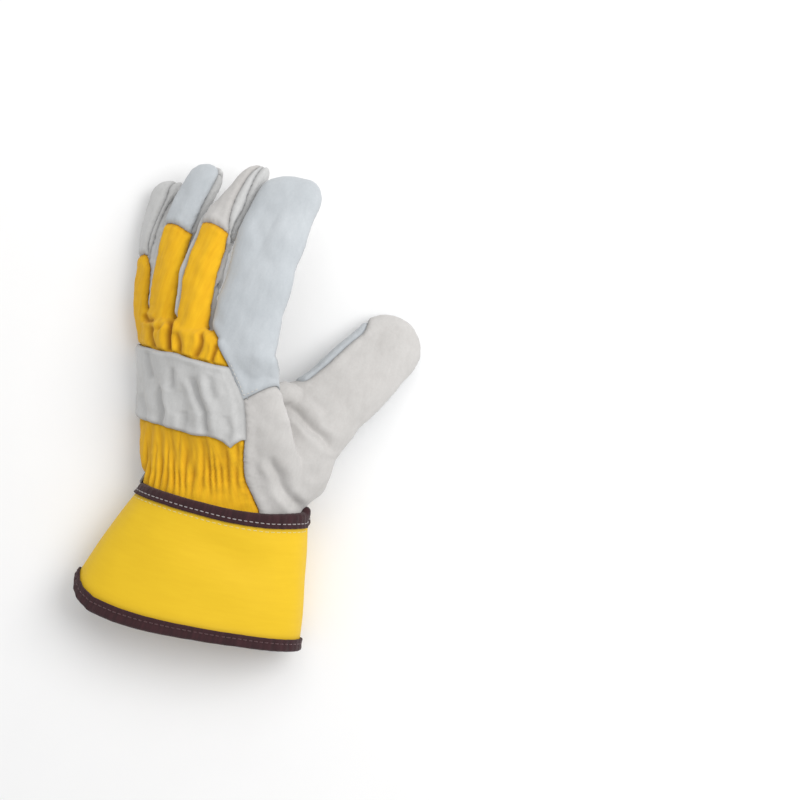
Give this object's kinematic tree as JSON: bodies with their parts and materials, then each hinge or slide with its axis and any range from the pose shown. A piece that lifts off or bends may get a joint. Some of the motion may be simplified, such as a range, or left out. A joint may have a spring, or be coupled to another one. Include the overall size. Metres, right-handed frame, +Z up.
{
  "type": "work glove",
  "caption": "Left-hand leather-palm work glove with cloth back, leather finger and thumb pieces, knuckle strap and flared safety cuff with bound edges; lies relaxed and open at the wrist",
  "frame": {"origin": "on the surface the glove lies on, under the middle of its bounding box", "axes": "+Y runs from the cuff to the fingertips, +X to the thumb side, +Z up from the surface. The cuff lies flat, and the hand is rolled about 40 degrees so that its back faces up and away from the thumb."},
  "size_m": [0.1686, 0.2472, 0.0749],
  "materials": {
    "split_leather": "split cow leather, napped, dry and matt, with fine flecks and soft creases",
    "thumb_leather": "split cow leather, napped, dry and matt, with fine flecks and soft creases",
    "strap_leather": "split cow leather, napped, dry and matt, with fine flecks and soft creases",
    "back_cloth": "cotton drill, matt, gathered at the wrist by an elastic",
    "cuff_cloth": "stiff rubber-coated cotton, a little smooth, with soft waves",
    "binding_tape": "ribbed folded tape, matt"
  },
  "bodies": {
    "root": {"index_back": "split_leather", "back_fabric": "back_cloth", "middle_tip": "split_leather", "ring_tip": "split_leather", "pinky_tip": "split_leather", "thumb_outer": "thumb_leather", "thumb_inner": "thumb_leather", "index_front": "split_leather", "middle_front": "split_leather", "ring_front": "split_leather", "pinky_front": "split_leather", "palm_leather": "split_leather", "knuckle_strap": "strap_leather", "safety_cuff": "cuff_cloth", "cuff_binding_bottom": "binding_tape", "cuff_binding_top": "binding_tape", "palm_tab": "split_leather"}
  },
  "joints": []
}
